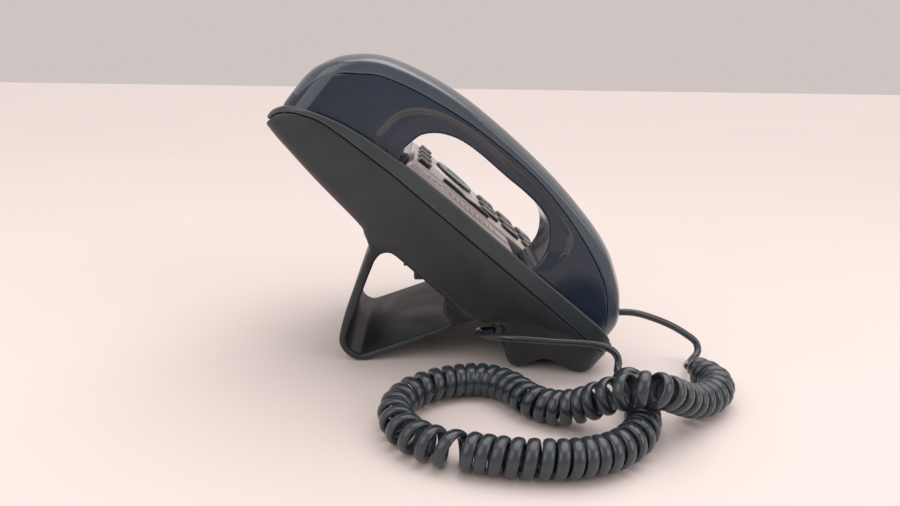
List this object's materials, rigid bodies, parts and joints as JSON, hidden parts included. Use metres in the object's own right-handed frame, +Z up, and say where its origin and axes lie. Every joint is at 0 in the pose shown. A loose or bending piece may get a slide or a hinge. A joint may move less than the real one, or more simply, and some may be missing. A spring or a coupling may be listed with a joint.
{
  "type": "desk ip telephone",
  "caption": "Tilted desk telephone on a bent strap stand, with display, keypad, arched handset lying in its cradle and a curly handset cord.",
  "frame": {"origin": "centre of the bounding box of the telephone without its cord, on the desk", "axes": "+Z up, the user sits at -Y, +X to the user's right, the handset on the -X side"},
  "size_m": [0.2364, 0.2282, 0.1602],
  "materials": {
    "housing": "fine matte texture",
    "rim": "satin",
    "panel": "silver satin",
    "gloss": "satin gloss",
    "cover": "satin",
    "key": "satin",
    "nav": "satin gloss",
    "socket": "moulded",
    "plug": "clear moulded",
    "rubber": "matt",
    "cord": "glossy extruded",
    "lens": "clear",
    "board": "printed board",
    "steel": "plated",
    "lamp": "translucent"
  },
  "bodies": {
    "base": {"rear_housing": "housing", "rim_band": "rim", "face_plate": "panel", "display_lens": "lens", "lcd_module": "steel", "message_lamp": "lamp", "keypad_membrane": "rubber", "key_board": "board", "main_board": "board", "loudspeaker": "steel", "hook_switch": "board", "lan_jack": "socket", "pc_jack": "socket", "headset_jack": "socket", "power_jack": "socket", "base_jack": "socket", "base_plug": "plug", "screw_upper_left": "steel", "screw_upper_right": "steel", "screw_lower_left": "steel", "screw_lower_right": "steel", "foot_rear_left": "rubber", "foot_rear_right": "rubber", "foot_front_left": "rubber", "foot_front_right": "rubber", "cord_base_tail": "cord", "cord_coil": "cord", "cord_handset_tail": "cord"},
    "handset": {"handset_cover": "cover", "handset_shell": "gloss", "receiver_capsule": "steel", "microphone_capsule": "steel", "handset_weight": "steel", "handset_jack": "socket", "handset_plug": "plug"},
    "hook": {"hook_plunger": "socket"},
    "key_1_body": {"key_1": "key"},
    "key_2_body": {"key_2": "key"},
    "key_3_body": {"key_3": "key"},
    "key_4_body": {"key_4": "key"},
    "key_5_body": {"key_5": "key"},
    "key_6_body": {"key_6": "key"},
    "key_7_body": {"key_7": "key"},
    "key_8_body": {"key_8": "key"},
    "key_9_body": {"key_9": "key"},
    "key_star_body": {"key_star": "key"},
    "key_0_body": {"key_0": "key"},
    "key_hash_body": {"key_hash": "key"},
    "soft_key_1_body": {"soft_key_1": "key"},
    "soft_key_2_body": {"soft_key_2": "key"},
    "soft_key_3_body": {"soft_key_3": "key"},
    "soft_key_4_body": {"soft_key_4": "key"},
    "mute_key_body": {"mute_key": "key"},
    "speaker_key_body": {"speaker_key": "key"},
    "hold_key_body": {"hold_key": "key"},
    "nav_key_body": {"nav_key": "nav"},
    "volume_body": {"volume_bar": "key"}
  },
  "joints": [
    {"name": "handset_lift", "type": "slide", "parent": "base", "child": "handset", "axis": [0, -0.6414, 0.7672], "range_m": [0, 0.05], "deforming": ["cord_handset_tail"]},
    {"name": "hook_rise", "type": "slide", "parent": "base", "child": "hook", "axis": [0, -0.6414, 0.7672], "range_m": [0, 0.003]},
    {"name": "key_1_press", "type": "slide", "parent": "base", "child": "key_1_body", "axis": [0, 0.6414, -0.7672], "range_m": [0, 0.0012], "stiffness_N_per_m": 250},
    {"name": "key_2_press", "type": "slide", "parent": "base", "child": "key_2_body", "axis": [0, 0.6414, -0.7672], "range_m": [0, 0.0012], "stiffness_N_per_m": 250},
    {"name": "key_3_press", "type": "slide", "parent": "base", "child": "key_3_body", "axis": [0, 0.6414, -0.7672], "range_m": [0, 0.0012], "stiffness_N_per_m": 250},
    {"name": "key_4_press", "type": "slide", "parent": "base", "child": "key_4_body", "axis": [0, 0.6414, -0.7672], "range_m": [0, 0.0012], "stiffness_N_per_m": 250},
    {"name": "key_5_press", "type": "slide", "parent": "base", "child": "key_5_body", "axis": [0, 0.6414, -0.7672], "range_m": [0, 0.0012], "stiffness_N_per_m": 250},
    {"name": "key_6_press", "type": "slide", "parent": "base", "child": "key_6_body", "axis": [0, 0.6414, -0.7672], "range_m": [0, 0.0012], "stiffness_N_per_m": 250},
    {"name": "key_7_press", "type": "slide", "parent": "base", "child": "key_7_body", "axis": [0, 0.6414, -0.7672], "range_m": [0, 0.0012], "stiffness_N_per_m": 250},
    {"name": "key_8_press", "type": "slide", "parent": "base", "child": "key_8_body", "axis": [0, 0.6414, -0.7672], "range_m": [0, 0.0012], "stiffness_N_per_m": 250},
    {"name": "key_9_press", "type": "slide", "parent": "base", "child": "key_9_body", "axis": [0, 0.6414, -0.7672], "range_m": [0, 0.0012], "stiffness_N_per_m": 250},
    {"name": "key_star_press", "type": "slide", "parent": "base", "child": "key_star_body", "axis": [0, 0.6414, -0.7672], "range_m": [0, 0.0012], "stiffness_N_per_m": 250},
    {"name": "key_0_press", "type": "slide", "parent": "base", "child": "key_0_body", "axis": [0, 0.6414, -0.7672], "range_m": [0, 0.0012], "stiffness_N_per_m": 250},
    {"name": "key_hash_press", "type": "slide", "parent": "base", "child": "key_hash_body", "axis": [0, 0.6414, -0.7672], "range_m": [0, 0.0012], "stiffness_N_per_m": 250},
    {"name": "soft_key_1_press", "type": "slide", "parent": "base", "child": "soft_key_1_body", "axis": [0, 0.6414, -0.7672], "range_m": [0, 0.0012], "stiffness_N_per_m": 250},
    {"name": "soft_key_2_press", "type": "slide", "parent": "base", "child": "soft_key_2_body", "axis": [0, 0.6414, -0.7672], "range_m": [0, 0.0012], "stiffness_N_per_m": 250},
    {"name": "soft_key_3_press", "type": "slide", "parent": "base", "child": "soft_key_3_body", "axis": [0, 0.6414, -0.7672], "range_m": [0, 0.0012], "stiffness_N_per_m": 250},
    {"name": "soft_key_4_press", "type": "slide", "parent": "base", "child": "soft_key_4_body", "axis": [0, 0.6414, -0.7672], "range_m": [0, 0.0012], "stiffness_N_per_m": 250},
    {"name": "mute_key_press", "type": "slide", "parent": "base", "child": "mute_key_body", "axis": [0, 0.6414, -0.7672], "range_m": [0, 0.0012], "stiffness_N_per_m": 250},
    {"name": "speaker_key_press", "type": "slide", "parent": "base", "child": "speaker_key_body", "axis": [0, 0.6414, -0.7672], "range_m": [0, 0.0012], "stiffness_N_per_m": 250},
    {"name": "hold_key_press", "type": "slide", "parent": "base", "child": "hold_key_body", "axis": [0, 0.6414, -0.7672], "range_m": [0, 0.0012], "stiffness_N_per_m": 250},
    {"name": "nav_key_press", "type": "slide", "parent": "base", "child": "nav_key_body", "axis": [0, 0.6414, -0.7672], "range_m": [0, 0.0012], "stiffness_N_per_m": 250},
    {"name": "volume_rock", "type": "hinge", "parent": "base", "child": "volume_body", "pos_m": [-0.0204, -0.008, 0.08284], "axis": [1, 0, 0], "range_deg": [-1.5, 1.5], "stiffness_Nm_per_rad": 0.05}
  ],
  "couplings": [
    {"joint": "hook_rise", "follows": "handset_lift", "ratio": 0.06}
  ]
}
